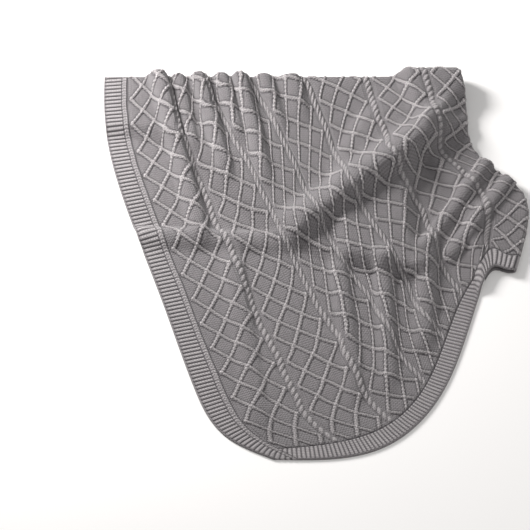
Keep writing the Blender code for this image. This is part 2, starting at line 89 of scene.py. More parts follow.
# Soft crests on the floor plan: head, foot, heights at both, half widths to the left and
# right, and the run over which the crest fades out
foldRows = (
    ((-0.386, 1.36), (-0.268, 0.800), 0.030, 0.020, 0.040, 0.031, 0.10),
    ((-0.334, 1.36), (-0.288, 1.080), 0.016, 0.010, 0.024, 0.023, 0.08),
    ((-0.284, 1.36), (-0.208, 1.000), 0.024, 0.015, 0.030, 0.027, 0.10),
    ((-0.230, 1.36), (-0.176, 1.120), 0.021, 0.012, 0.027, 0.026, 0.08),
    ((-0.180, 1.36), (-0.110, 0.990), 0.024, 0.015, 0.030, 0.028, 0.10),
    ((-0.126, 1.36), (-0.072, 1.150), 0.019, 0.010, 0.027, 0.026, 0.08),
    ((-0.046, 1.36), (-0.014, 1.180), 0.017, 0.009, 0.050, 0.027, 0.08),
    ((0.330, 1.090), (0.010, 0.800), 0.041, 0.036, 0.095, 0.055, 0.12),
    ((0.452, 0.985), (0.300, 0.735), 0.017, 0.012, 0.034, 0.030, 0.06),
    ((0.500, 0.920), (0.360, 0.700), 0.014, 0.013, 0.034, 0.030, 0.06),
    ((-0.400, 0.758), (-0.040, 0.738), 0.014, 0.011, 0.060, 0.042, 0.06),
    ((0.300, 0.690), (0.290, 0.430), 0.024, 0.014, 0.044, 0.036, 0.08),
    ((0.190, 0.640), (0.200, 0.300), 0.019, 0.011, 0.036, 0.034, 0.08),
    ((0.080, 0.640), (0.115, 0.260), 0.016, 0.009, 0.036, 0.038, 0.08),
    ((-0.180, 0.650), (-0.120, 0.180), 0.014, 0.008, 0.050, 0.040, 0.10),
)

# The near hem is drawn up here into the small notch beside its turned corner
notch = {"x": 0.455, "y": 0.650, "rise": 0.055, "width": 0.035, "depth": 0.090, "back": 0.02}


def smoothStep(x):
    x = np.clip(x, 0.0, 1.0)
    return x * x * (3.0 - 2.0 * x)


def splineBasis(knots, at):
    # Natural cubic spline through unit values: one column for each knot
    knots = np.asarray(knots, float)
    count = len(knots)
    gap = np.diff(knots)
    system = np.eye(count)
    right = np.zeros((count, count))
    for i in range(1, count - 1):
        system[i, i - 1:i + 2] = gap[i - 1], 2 * (gap[i - 1] + gap[i]), gap[i]
        right[i, i - 1:i + 2] = 6 / gap[i - 1], -6 / gap[i - 1] - 6 / gap[i], 6 / gap[i]
    bend = np.linalg.solve(system, right)
    at = np.asarray(at, float)
    k = np.clip(np.searchsorted(knots, at) - 1, 0, count - 2)
    span = gap[k]
    a = (knots[k + 1] - at) / span
    b = (at - knots[k]) / span
    rows = np.arange(len(at))
    out = np.zeros((len(at), count))
    out[rows, k] += a
    out[rows, k + 1] += b
    out += ((a ** 3 - a) * span ** 2 / 6)[:, None] * bend[k]
    out += ((b ** 3 - b) * span ** 2 / 6)[:, None] * bend[k + 1]
    return out


def openPlan(u, t):
    # Floor place of the cloth as if its far part lay open: u from the left to the right turn
    rows = splineBasis([row[0] for row in layRows], t)
    columns = splineBasis(np.linspace(0, 1, 5), u)
    net = np.array([row[1:] for row in layRows], float)
    x = np.zeros(len(rows))
    y = np.zeros(len(rows))
    for r in range(net.shape[0]):
        for c in range(net.shape[1]):
            weight = rows[:, r] * columns[:, c]
            x += weight * net[r, c, 0]
            y += weight * net[r, c, 1]
    near = np.exp(-((x - notch["x"]) / notch["width"]) ** 2)
    near = near * np.exp(-(np.maximum(y - notch["y"], -notch["back"]) / notch["depth"]) ** 2)
    return x, y + notch["rise"] * near


def insideDistance(x, y, outline):
    # Distance to a closed outline on the floor, above zero inside it
    best = np.full(x.shape, 9.0)
    crossings = np.zeros(x.shape, int)
    for (ax, ay), (bx, by) in zip(outline, np.roll(outline, -1, axis=0)):
        along = np.clip(((x - ax) * (bx - ax) + (y - ay) * (by - ay))
                        / max((bx - ax) ** 2 + (by - ay) ** 2, 1e-12), 0, 1)
        best = np.minimum(best, np.hypot(x - ax - along * (bx - ax), y - ay - along * (by - ay)))
        spans = (ay > y) != (by > y)
        if by != ay:
            crossings += spans & (x < (bx - ax) * (y - ay) / (by - ay) + ax)
    return np.where(crossings % 2 == 1, best, -best)


def underOutline(uStart):
    # Floor outline of the part that lies folded under, from column uStart to the right turn
    count, length = cloth["outlineCount"], cloth["length"]
    steps = np.linspace(0, 1, count)
    edges = []
    for u, t in ((np.full(count, uStart), steps * length),
                 (uStart + (1 - uStart) * steps, np.full(count, length)),
                 (np.ones(count), length * (1 - steps))):
        x, y = openPlan(u, t)
        past = y > cloth["turnY"]
        edges.append(np.column_stack((x[past], 2 * cloth["turnY"] - y[past])))
    return np.vstack(edges)


flapOutline = underOutline(0.0)
stripOutline = underOutline(1 - (cloth["stripUnder"] + cloth["stripSlack"]) / cloth["turnS"])


def liftOfStrip(s):
    # Rise of the cloth over the border strip that is turned under it at the right
    start = cloth["turnS"] - cloth["stripUnder"] - cloth["stripEase"]
    return cloth["layerRise"] * smoothStep((s - start) / cloth["stripEase"])


def baseHeight(x, y, total):
    # Height of the upper layer: over the folded part, and up to the loose turn at the top
    rise = cloth["layerRise"]
    over = rise * smoothStep(1 + insideDistance(x, y, flapOutline) / cloth["riseEase"])
    over = over + rise * smoothStep(1 + insideDistance(x, y, stripOutline) / cloth["riseEase"])
    turn = smoothStep(1 - (cloth["turnY"] - y) / cloth["turnEase"])
    return over + (total + 2 * cloth["turnRadius"] - over) * turn


def foldShift(x, y):
    # Height of all folds at a floor place, and the sideways push that rounds their crests
    high = np.zeros(x.shape)
    pushX = np.zeros(x.shape)
    pushY = np.zeros(x.shape)
    for head, foot, headHeight, footHeight, leftWidth, rightWidth, fade in foldRows:
        run = math.hypot(foot[0] - head[0], foot[1] - head[1])
        way = ((foot[0] - head[0]) / run, (foot[1] - head[1]) / run)
        along = (x - head[0]) * way[0] + (y - head[1]) * way[1]
        side = -(x - head[0]) * way[1] + (y - head[1]) * way[0]
        share = np.clip(side / np.where(side > 0, rightWidth, leftWidth), -1, 1)
        ends = smoothStep((along + fade) / fade) * smoothStep((run + fade - along) / fade)
        height = headHeight - (headHeight - footHeight) * np.clip(along / run, 0, 1)
        high += height * ends * (1 + np.cos(math.pi * share)) / 2
        push = cloth["crestRounding"] * min(leftWidth, rightWidth) * height / headHeight
        push = push * ends * np.sin(2 * math.pi * share)
        pushX += -way[1] * push
        pushY += way[0] * push
    return high, pushX, pushY


def turned(u, t, lift, total):
    # Place of the cloth's underside: u and t on the open plan, lift above the lowest layer
    turnY = cloth["turnY"]
    x, y = openPlan(u, t)
    radius = cloth["turnRadius"] + lift
    path = radius + cloth["thickness"] / 2
    angle = np.clip((y - turnY) / path, 0, math.pi)
    upper = y <= turnY
    under = y > turnY + math.pi * path
    flatY = np.where(upper, y, turnY + radius * np.sin(angle))
    flatY = np.where(under, 2 * turnY + math.pi * path - y, flatY)
    z = np.where(upper, baseHeight(x, flatY, total) + lift,
                 total + cloth["turnRadius"] + radius * np.cos(angle))
    z = np.where(under, total - lift, z)
    high, pushX, pushY = foldShift(x, flatY)
    return np.column_stack((x + pushX, flatY + pushY, z + high))


def rowTable():
    # Even spacing along each line across the cloth, measured over its folds
    us = np.linspace(0, 1, cloth["laidSteps"] + 1)
    table = np.zeros((cloth["rowCount"], cloth["laidSteps"] + 1))
    for i, t in enumerate(np.linspace(0, cloth["length"], cloth["rowCount"])):
        lift = liftOfStrip(us * cloth["turnS"])
        points = turned(us, np.full(us.shape, t), lift, lift + cloth["thickness"])
        steps = np.linalg.norm(np.diff(points, axis=0), axis=1)
        run = np.concatenate(([0], np.cumsum(steps)))
        table[i] = np.interp(us * run[-1], run, us)
    return table


evenRows = rowTable()


def evenPlace(s, t):
    # Reads the table with a smooth curve through its values in both directions
    def taps(x, count):
        k = np.clip(np.floor(x).astype(int), 0, count - 2)
        f = x - k
        weights = (-f / 2 + f ** 2 - f ** 3 / 2, 1 - 2.5 * f ** 2 + 1.5 * f ** 3,
                   f / 2 + 2 * f ** 2 - 1.5 * f ** 3, -f ** 2 / 2 + f ** 3 / 2)
        return [(np.clip(k + j - 1, 0, count - 1), w) for j, w in enumerate(weights)]
    total = np.zeros(s.shape)
    steps, rows = cloth["laidSteps"], cloth["rowCount"]
    across = taps(np.clip(s / cloth["turnS"], 0, 1) * steps, steps + 1)
    along = taps(np.clip(t / cloth["length"], 0, 1) * (rows - 1), rows)
    for row, rowWeight in along:
        for column, columnWeight in across:
            total += rowWeight * columnWeight * evenRows[row, column]
    return np.clip(total, 0, 1)


def sideTurned(s):
    # The right strip turns under about a tight radius and lies below the rest
    turnS, radius = cloth["turnS"], cloth["sideRadius"]
    angle = np.clip((s - turnS) / cloth["sideTurn"], 0, 1) * math.pi
    flatS = np.minimum(s, turnS) - np.maximum(s - turnS - cloth["sideTurn"], 0)
    under = cloth["thickness"] + radius * (1 + np.cos(angle))
    return flatS, np.where(s <= turnS, liftOfStrip(flatS), under), radius * np.sin(angle)


def underside(s, t):
    # Place of the cloth's underside for points in flat cloth coordinates
    flatS, lift, reach = sideTurned(s)
    total = cloth["thickness"] + liftOfStrip(flatS)
    u = evenPlace(flatS, t)
    place = turned(u, t, lift, total)
    near = s > cloth["turnS"]
    if near.any():
        uInner = np.maximum(u[near] - cloth["outwardStep"], 0)
        inner = turned(uInner, t[near], lift[near], total[near])
        outward = place[near] - inner
        outward /= np.maximum(np.linalg.norm(outward, axis=1), 1e-9)[:, None]
        place[near] += outward * reach[near][:, None]
    return place


def turnT(s):
    # Distance t at which column s starts and ends its way round the top turn
    ts = np.linspace(0, cloth["length"], 2 * cloth["rowCount"])
    flatS, lift, reach = sideTurned(np.full(ts.shape, s))
    y = openPlan(evenPlace(flatS, ts), ts)[1]
    path = cloth["turnRadius"] + lift + cloth["thickness"] / 2
    starts, ends = y - cloth["turnY"], y - cloth["turnY"] - math.pi * path
    return float(np.interp(0, starts, ts)), float(np.interp(0, ends, ts))


def clothGrid(sLines, tLines):
    # Laid underside places and unit normals on a net of cloth lines, both (rows, columns, 3)
    s, t = np.meshgrid(sLines, tLines)
    places = underside(s.ravel(), t.ravel()).reshape(s.shape + (3,))
    places[..., 0] -= cloth["origin"][0]
    places[..., 1] -= cloth["origin"][1]
    overT, overS = np.gradient(places, tLines, sLines, axis=(0, 1))
    normals = np.cross(overS, overT)
    normals /= np.maximum(np.linalg.norm(normals, axis=2), 1e-12)[..., None]
    return s, t, places, normals


def sheetMesh(name, sLines, tLines, relief, every, underRelief=None, leaning=None):
    # A closed thin sheet: a fine upper face with its relief, a coarse underside and thin walls.
    # In some tight folds the two faces cross, mostly in panelStrip6 and panelStrip7.
    s, t, places, normals = clothGrid(sLines, tLines)
    height, light = relief(s, t)
    top = places + normals * (cloth["thickness"] + height)[..., None]
    rows, across = s.shape
    keepRows = sorted(set(list(range(0, rows, every)) + [rows - 1]))
    keepColumns = sorted(set(list(range(0, across, every)) + [across - 1]))
    low = places
    if underRelief:
        low = places - normals * underRelief(s, t)[..., None]
    low = low[np.ix_(keepRows, keepColumns)]
    topIds = np.arange(rows * across).reshape(rows, across)
    lowIds = rows * across + np.arange(low.shape[0] * low.shape[1]).reshape(low.shape[:2])
    quads = np.stack((topIds[:-1, :-1], topIds[:-1, 1:], topIds[1:, 1:], topIds[1:, :-1]), -1)
    lowQuads = np.stack((lowIds[:-1, :-1], lowIds[1:, :-1], lowIds[1:, 1:], lowIds[:-1, 1:]), -1)
    faces = quads.reshape(-1, 4).tolist() + lowQuads.reshape(-1, 4).tolist()
    smoothCount = len(faces)
    for edge, lowEdge, kept, flip in (
            (topIds[0], lowIds[0], keepColumns, False),
            (topIds[-1], lowIds[-1], keepColumns, True),
            (topIds[:, 0], lowIds[:, 0], keepRows, True),
            (topIds[:, -1], lowIds[:, -1], keepRows, False)):
        for k in range(len(kept) - 1):
            ring = [int(lowEdge[k]), int(lowEdge[k + 1])]
            ring += [int(i) for i in edge[kept[k]:kept[k + 1] + 1][::-1]]
            faces.append(ring[::-1] if flip else ring)
    mesh = bpy.data.meshes.new(name)
    mesh.from_pydata(np.vstack((top.reshape(-1, 3), low.reshape(-1, 3))).tolist(), [], faces)
    smooth = np.zeros(len(faces), bool)
    smooth[:smoothCount] = True
    mesh.polygons.foreach_set("use_smooth", smooth)
    plan = np.zeros((len(mesh.vertices), 2))
    plan[:rows * across] = np.column_stack((s.ravel(), t.ravel()))
    plan[rows * across:, 0] = np.tile(sLines[keepColumns], len(keepRows))
    plan[rows * across:, 1] = np.repeat(tLines[keepRows], len(keepColumns))
    if leaning:
        plan = np.column_stack(leaning(plan[:, 0], plan[:, 1]))
    corner = np.zeros(len(mesh.loops), int)
    mesh.loops.foreach_get("vertex_index", corner)
    layer = mesh.uv_layers.new(name="clothPlan")
    layer.data.foreach_set("uv", plan[corner].astype(np.float32).ravel())
    # The proud attribute carries painted light and shade: lighter on raised cables and ribs, dark
    # in the hollows and grooves.
    proud = mesh.attributes.new("proud", "FLOAT", "POINT")
    values = np.full(len(mesh.vertices), cable["shade"], np.float32)
    values[:rows * across] = light.ravel()
    proud.data.foreach_set("value", values)
    mesh.update()
    piece = bpy.data.objects.new(name, mesh)
    bpy.context.scene.collection.objects.link(piece)
    return piece


turnColumns = np.append(np.linspace(0, cloth["turnS"], cloth["turnCount"]),
                        (cloth["turnS"] + cloth["sideTurn"], cloth["width"]))
turnEnds = np.array([turnT(s) for s in turnColumns])


def onShow(s, t):
    # 1 where the upper face is open, falling to 0 as the cloth turns under
    start = np.interp(s, turnColumns, turnEnds[:, 0])
    end = np.interp(s, turnColumns, turnEnds[:, 1])
    side = smoothStep((s - cloth["turnS"]) / cloth["sideTurn"])
    return (1 - smoothStep((t - start) / (end - start))) * (1 - side)


def cleanEdge(value, low, high, ease):
    # 1 inside low to high, falling to 0 at both over a short ease
    return smoothStep((value - low) / ease) * smoothStep((high - value) / ease)


# Raised knit: travelling cables two wales wide that meet in diamonds, and between the panels
# flat rope cables of slanted grains. Stitches and grains are drawn coarser than the real ones,
# so that they show in a picture of the whole throw.
# shade is both the tone level of the plain knit and the depth of the painted shade beside each
# cable; shadeOff and shadeWidth place that painted shade.
cable = {"half": 0.0040, "height": 0.0042, "stitch": 0.0108, "bead": 0.74, "round": 0.8,
         "swell": 0.32, "over": 0.0010, "under": 0.62, "slant": 0.45, "edge": 0.004,
         "crossPower": 4, "pillow": 0.0012, "pillowReach": 0.013, "pillowPower": 1.5,
         "shade": 0.30, "shadeOff": 0.0014, "shadeWidth": 0.0024,
         "wander": ((0.0009, 37, 11), (0.0006, 83, -29))}
# The rope's shade key sets the strength of the painted shade beside the ropes.
rope = {"pitch": 0.0205, "slant": 0.52, "long": 0.0150, "wide": 0.0052, "height": 0.0031,
        "half": 0.0086, "channel": 0.0008, "channelOff": 0.002, "channelWidth": 0.003,
        "shade": 0.3, "cutSide": 0.0065}


def cableProfile(offset, along):
    # Height of a travelling cable at a signed offset from its middle, with slanted stitches
    phase = along / cable["stitch"] + cable["slant"] * offset / cable["half"]
    bead = np.abs(np.cos(math.pi * phase)) ** cable["round"]
    share = np.abs(offset) / (cable["half"] * (1 - cable["swell"] + 2 * cable["swell"] * bead))
    body = np.sqrt(np.clip(1 - share ** 2, 0, 1))
    return cable["height"] * body * (1 - cable["bead"] + cable["bead"] * bead)


def panelRelief(s, t):
    # Height over the plain knit, and the painted light of a point: lighter where it stands proud,
    # with painted shade beside the cables and ropes
    half, step, lines = cloth["halfDiamond"], cloth["rowStep"], cloth["linesPerPanel"]
    wander = sum(size * np.sin(t * alongRate + s * acrossRate)
                 for size, alongRate, acrossRate in cable["wander"])
    local = s + wander - cloth["border"] - cloth["margin"]
    panel = np.clip(np.floor(local / cloth["panelStep"]), 0, cloth["panels"] - 1)
    local = local - panel * cloth["panelStep"]
    x = np.clip(local / half, 0, lines)
    beyond = (local / half - x) * half
    y = t / step
    scale = 1 / math.hypot(1 / half, 1 / step)
    run = t * math.hypot(half, step) / step
    first, second = x - y, x + y
    firstLine, secondLine = np.round(first / 2), np.round(second / 2)
    firstOff = (first - 2 * firstLine) * scale
    secondOff = (second - 2 * secondLine) * scale
    firstFar = np.sign(firstOff + 1e-9) * np.hypot(firstOff, beyond)
    secondFar = np.sign(secondOff + 1e-9) * np.hypot(secondOff, beyond)
    firstHigh = cableProfile(firstFar, run)
    secondHigh = cableProfile(secondFar, run + cable["stitch"] / 2)
    firstOver = np.mod(firstLine + secondLine, 2) == 0
    nearFirst = np.exp(-(firstFar / cable["half"]) ** cable["crossPower"])
    nearSecond = np.exp(-(secondFar / cable["half"]) ** cable["crossPower"])
    firstHigh = np.where(firstOver, firstHigh + cable["over"] * nearSecond * (firstHigh > 0),
                         firstHigh * (1 - cable["under"] * nearSecond))
    secondHigh = np.where(firstOver, secondHigh * (1 - cable["under"] * nearFirst),
                          secondHigh + cable["over"] * nearFirst * (secondHigh > 0))
    lattice = np.maximum(firstHigh, secondHigh)
    clear = np.clip(np.minimum(np.abs(firstFar), np.abs(secondFar)) / cable["pillowReach"], 0, 1)
    pillow = cable["pillow"] * clear ** cable["pillowPower"] * (beyond == 0)
    centre = lines * half + cloth["ropeSpace"] / 2
    # The last panel has no rope beside it, so its points are sent far from one
    across = np.where(panel < cloth["panels"] - 1, local - centre, 1.0)
    ropeHigh = np.zeros(s.shape)
    for turn in (-1, 0, 1):
        past = t - (np.round(t / rope["pitch"]) + turn) * rope["pitch"]
        down = past * math.cos(rope["slant"]) + across * math.sin(rope["slant"])
        over = across * math.cos(rope["slant"]) - past * math.sin(rope["slant"])
        body = 1 - (down / rope["long"]) ** 2 - (over / rope["wide"]) ** 2
        ropeHigh = np.maximum(ropeHigh, rope["height"] * np.sqrt(np.clip(body, 0, 1)))
    channel = (np.abs(across) - rope["half"] - rope["channelOff"]) / rope["channelWidth"]
    channel = rope["channel"] * np.exp(-channel ** 2)
    fade = cleanEdge(s, cloth["border"], cloth["width"] - cloth["border"], cable["edge"])
    fade = fade * cleanEdge(t, cloth["hem"], cloth["length"] - cloth["hem"], cable["edge"])
    high = np.maximum(lattice, ropeHigh)
    # Painted highlight: the tone rises with the height of the cables and ropes.
    light = np.clip(high / cable["height"], 0, 1)
    # Painted shade: a dark band in the plain knit just beside each cable and, fainter, beside
    # each rope.
    near = np.minimum(np.abs(firstFar), np.abs(secondFar)) - cable["half"]
    shade = np.exp(-((near - cable["shadeOff"]) / cable["shadeWidth"]) ** 2)
    near = np.abs(across) - rope["half"]
    shade = np.maximum(shade, rope["shade"] * np.exp(-(near / cable["shadeWidth"]) ** 2))
    shade = shade * (high == 0)
    light = (cable["shade"] + (1 - cable["shade"]) * light - cable["shade"] * shade) * fade
    return (high + pillow - channel) * fade * onShow(s, t), light


# tone and dark set the ribs' painted light: lit crests, and grooves in painted shade.
rib = {"height": 0.0023, "groove": 2.6, "ends": 0.0025, "edge": 0.001,
       "selvedge": 0.0045, "selvedgeHigh": 0.0018,
       "bandHigh": 0.0019, "bandPower": 4, "bandStitch": 0.0090, "bandStitchHigh": 0.0006,
       "bandLean": 0.6, "bandReach": 0.9, "tone": 0.80, "dark": 1.8}


def ribWave(along):
    # A round rib with a narrow groove on either side
    share = np.abs(2 * np.mod(along / cloth["ribPitch"], 1) - 1)
    return 1 - share ** rib["groove"]


def ribbedStrip(edge, along, inner):
    # A ribbed strip: edge is the distance from the selvedge, inner the strip's depth
    start = rib["selvedge"] - rib["edge"]
    ribs = rib["height"] * ribWave(along) * cleanEdge(edge, start, inner, rib["ends"])
    roll = rib["selvedgeHigh"] * np.sqrt(np.clip(1 - (2 * edge / rib["selvedge"] - 1) ** 2, 0, 1))
    return np.maximum(ribs, roll)


def ribPaintedLight(high, edge):
    # Painted light and shade on the ribs: lit crests, dark grooves between them, and a plain tone
    # along the selvedge
    tone = rib["tone"] * np.clip(high / rib["height"], 0, 1) ** rib["dark"]
    return np.maximum(tone, cable["shade"] * (edge < rib["selvedge"] / 2))


def sunkUnder(high, s, t):
    # Ribs stand proud where they show. Turned under, their crests are level with the cloth.
    show = onShow(s, t)
    return high * show - np.maximum(rib["height"] - high, 0) * (1 - show)


def borderRelief(s, t):
    # Ribs square to the long side, and the linking band with its slanted stitches
    edge = np.minimum(s, cloth["width"] - s)
    ribs = ribbedStrip(edge, borderLeaning(s, t)[1], cloth["ribStrip"])
    middle = cloth["ribStrip"] + cloth["linkBand"] / 2
    share = np.abs(edge - middle) / (cloth["linkBand"] / 2)
    band = rib["bandHigh"] * np.sqrt(np.clip(1 - share ** rib["bandPower"], 0, 1))
    stitches = t + np.abs(edge - middle) * rib["bandLean"]
    stitches = np.sin(2 * math.pi * stitches / rib["bandStitch"])
    band = band + rib["bandStitchHigh"] * stitches * (share < rib["bandReach"])
    high = np.maximum(ribs, band)
    ends = cleanEdge(t, 0, cloth["length"], 2 * rib["edge"])
    return sunkUnder(high, s, t) * ends, ribPaintedLight(high, edge)


# The edges are laid askew, and their ribs lean in the cloth so that they are square to the edge
ribLean = {"step": 0.01, "places": 60, "degree": 5, "hemStop": 0.16, "fanRun": 0.24,
           "borderFrom": 0.03, "borderTo": 1.20}


def leanAlong(s, t, forHem):
    # A smooth curve through the lean along one edge, with the places where it starts and ends
    step = ribLean["step"]
    overS = underside(s + step, t) - underside(s - step, t)
    overT = underside(s, t + step) - underside(s, t - step)
    alongEdge, places = (overS, s) if forHem else (overT, t)
    lean = (overS * overT).sum(axis=1) / (alongEdge ** 2).sum(axis=1)
    return np.polyfit(places, lean, ribLean["degree"]), places[0], places[-1]


hemSpan = np.linspace(cloth["border"], cloth["turnS"] - ribLean["hemStop"], ribLean["places"])
hemCurve = leanAlong(hemSpan, np.full(ribLean["places"], cloth["hem"] / 2), True)
borderSpan = np.linspace(ribLean["borderFrom"], ribLean["borderTo"], ribLean["places"])
borderCurve = leanAlong(np.full(ribLean["places"], cloth["border"] / 2), borderSpan, False)


def leanAt(curve, place):
    return np.polyval(curve[0], np.clip(place, curve[1], curve[2]))


def hemLeaning(s, t):
    # Cloth coordinates in which the near hem's ribs run straight. They fan out at the corner.
    fan = smoothStep((cloth["turnS"] - s) / ribLean["fanRun"])
    return s + fan * leanAt(hemCurve, s) * t * (t < cloth["hem"] + rib["edge"]), t


def borderLeaning(s, t):
    # Cloth coordinates in which the left border's ribs run straight
    return s, t + leanAt(borderCurve, t) * s * (s < cloth["border"] + rib["edge"])


def hemStrip(s, t, along):
    # The hem's distance from its edge and its height, with ribs counted by along
    edge = np.minimum(t, cloth["length"] - t)
    high = ribbedStrip(edge, along - cloth["border"], cloth["hem"] - 2 * rib["edge"])
    high = high * cleanEdge(s, cloth["border"], cloth["width"] - cloth["border"], rib["edge"])
    return edge, high


def hemUnder(s, t):
    # Ribs look the same on both faces of the cloth
    return hemStrip(s, t, s)[1] * cleanEdge(t, 0, cloth["length"], rib["edge"])


def hemRelief(s, t):
    edge, high = hemStrip(s, t, hemLeaning(s, t)[0])
    return sunkUnder(high, s, t), ribPaintedLight(high, edge)


def linear(hexCode):
    # sRGB hex to the linear values that the shader takes
    out = []
    for k in (0, 2, 4):
        c = int(hexCode[k:k + 2], 16) / 255
        out.append(c / 12.92 if c <= 0.04045 else ((c + 0.055) / 1.055) ** 2.4)
    return tuple(out) + (1.0,)


def addNode(tree, kind, settings=None, links=None):
    # Adds a node, sets its properties or numbered inputs, and links outputs into its inputs
    node = tree.nodes.new(kind)
    for key, value in (settings or {}).items():
        if isinstance(key, str) and hasattr(node, key):
            setattr(node, key, value)
        else:
            node.inputs[key].default_value = value
    for key, source in (links or {}).items():
        tree.links.new(source, node.inputs[key])
    return node


def mathNode(tree, operation, a, b=None):
    node = tree.nodes.new("ShaderNodeMath")
    node.operation = operation
    for k, value in enumerate((a, b)):
        if value is None:
            continue
        if isinstance(value, (int, float)):
            node.inputs[k].default_value = value
        else:
            tree.links.new(value, node.inputs[k])
    return node.outputs[0]


def noiseNode(tree, space, scale, detail):
    return addNode(tree, "ShaderNodeTexNoise", {"Scale": scale, "Detail": detail},
                   {"Vector": space}).outputs[0]


# Tints of the yarn: the first is painted shade for the hollows, the second the plain knit, the
# third a painted highlight on raised parts; then the size of a stitch, and the share and scale of
# each change in its tone
yarn = {"paintedShade": "413d40", "ground": "7b7779", "proud": "b8b3b4",
        "stitchWidth": 0.0081, "stitchHeight": 0.0072, "legSlope": 1.3, "flank": 0.6,
        "fuzz": 0.12, "fuzzScale": 900.0, "fuzzDetail": 3.0, "grain": 0.74, "grainScale": 280.0,
        "patch": 0.16, "patchScale": 9.0, "detail": 2.0, "tone": 0.38, "toneFall": 0.39,
        "bump": 0.0022, "bumpStrength": 0.8, "fuzzBump": 0.0010, "fuzzStrength": 0.6,
        "roughness": 0.95, "specular": 0.15, "sheen": 0.35, "sheenRoughness": 0.5}


def knitMaterial(name, ribbed, stitchTone):
    # Soft brushed wool blend: matt, with fine fuzz, and with painted light and shade: lighter
    # where it stands proud (painted highlight) and dark in the hollows (painted shade). Its
    # stitch rows are drawn about twice as coarse as the real 4 mm, so that they show.
    material = bpy.data.materials.new(name)
    material.use_nodes = True
    tree = material.node_tree
    shader = tree.nodes["Principled BSDF"]
    plan = addNode(tree, "ShaderNodeUVMap", {"uv_map": "clothPlan"})
    split = addNode(tree, "ShaderNodeSeparateXYZ", links={0: plan.outputs[0]})
    across, along = split.outputs[:2]
    width = yarn["stitchWidth"]
    if ribbed == "along":
        across, along = along, across
        width = cloth["ribPitch"]
    if ribbed == "across":
        across = mathNode(tree, "SUBTRACT", across, cloth["border"])
        width = cloth["ribPitch"]
    column = mathNode(tree, "FRACT", mathNode(tree, "DIVIDE", across, width))
    row = mathNode(tree, "DIVIDE", along, yarn["stitchHeight"])
    fromMiddle = mathNode(tree, "ABSOLUTE", mathNode(tree, "SUBTRACT", column, 0.5))
    slope = mathNode(tree, "MULTIPLY", fromMiddle, yarn["legSlope"])
    leg = mathNode(tree, "FRACT", mathNode(tree, "SUBTRACT", row, slope))
    legHigh = mathNode(tree, "SINE", mathNode(tree, "MULTIPLY", leg, math.pi))
    sideHigh = mathNode(tree, "SINE", mathNode(tree, "MULTIPLY", column, math.pi))
    if ribbed == "plain":
        sideHigh = mathNode(tree, "SINE", mathNode(tree, "MULTIPLY", fromMiddle, 2 * math.pi))
    stitch = mathNode(tree, "MULTIPLY", legHigh, mathNode(tree, "POWER", sideHigh, yarn["flank"]))
    proud = addNode(tree, "ShaderNodeAttribute", {"attribute_name": "proud"}).outputs["Fac"]
    space = addNode(tree, "ShaderNodeTexCoord").outputs["Object"]
    fuzz = noiseNode(tree, space, yarn["fuzzScale"], yarn["fuzzDetail"])
    patch = noiseNode(tree, space, yarn["patchScale"], yarn["detail"])
    grain = noiseNode(tree, space, yarn["grainScale"], yarn["detail"])
    # Painted light and shade: the ramp maps the proud value to a dark tint in the hollows, the
    # plain knit at the shade level, and a light tint on raised parts.
    ramp = tree.nodes.new("ShaderNodeValToRGB")
    ramp.color_ramp.elements[0].color = linear(yarn["paintedShade"])
    ramp.color_ramp.elements[1].color = linear(yarn["proud"])
    ramp.color_ramp.elements.new(cable["shade"]).color = linear(yarn["ground"])
    tree.links.new(proud, ramp.inputs[0])
    tone = mathNode(tree, "MULTIPLY", stitch, stitchTone)
    for noise, share in ((patch, yarn["patch"]), (fuzz, yarn["fuzz"]), (grain, yarn["grain"])):
        tone = mathNode(tree, "ADD", tone, mathNode(tree, "MULTIPLY", noise, share))
    tone = mathNode(tree, "ADD", tone, yarn["tone"] - yarn["toneFall"] * stitchTone)
    colour = addNode(tree, "ShaderNodeVectorMath", {"operation": "SCALE"},
                     {0: ramp.outputs[0], "Scale": tone})
    tree.links.new(colour.outputs[0], shader.inputs["Base Color"])
    shader.inputs["Roughness"].default_value = yarn["roughness"]
    shader.inputs["Specular IOR Level"].default_value = yarn["specular"]
    shader.inputs["Sheen Weight"].default_value = yarn["sheen"]
    shader.inputs["Sheen Roughness"].default_value = yarn["sheenRoughness"]
    stitchBump = addNode(tree, "ShaderNodeBump",
                         {"Strength": yarn["bumpStrength"], "Distance": yarn["bump"]},
                         {"Height": stitch})
    fuzzBump = addNode(tree, "ShaderNodeBump",
                       {"Strength": yarn["fuzzStrength"], "Distance": yarn["fuzzBump"]},
                       {"Height": fuzz, "Normal": stitchBump.outputs[0]})
    tree.links.new(fuzzBump.outputs[0], shader.inputs["Normal"])
    return material


def spaced(low, fineEnd, high, fine, coarse):
    # Line places: fine steps from low on the shared net until fineEnd, then coarse ones
    lines = list(np.arange(low, min(fineEnd, high), fine))
    if high - lines[-1] > coarse:
        lines += list(np.linspace(lines[-1], high, round((high - lines[-1]) / coarse) + 1)[1:])
    elif high - lines[-1] > fine / 2:
        lines.append(high)
    else:
        lines[-1] = high
    return np.array(lines)


def place(piece, node, material, flat):
    # Gives a piece its material, hides its solid and ties it to its body. The flat size is not
    # used.
    piece.data.materials.append(material)
    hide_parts(node)
    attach(piece, "root")


print("knit materials")
# Brushed wool of the field: plain knit rows between the cables, clear to the eye
panelKnit = knitMaterial("brushedWoolCableKnit", "plain", stitchTone=0.80)
# Brushed wool of the borders: faint stitches, one column to a rib that runs in from the long edge
borderKnit = knitMaterial("brushedWoolRibKnit", "along", stitchTone=0.30)
# Brushed wool of the hems: the same, on ribs that run in from the short edge
hemKnit = knitMaterial("brushedWoolHemRibKnit", "across", stitchTone=0.30)

print("panel strips")
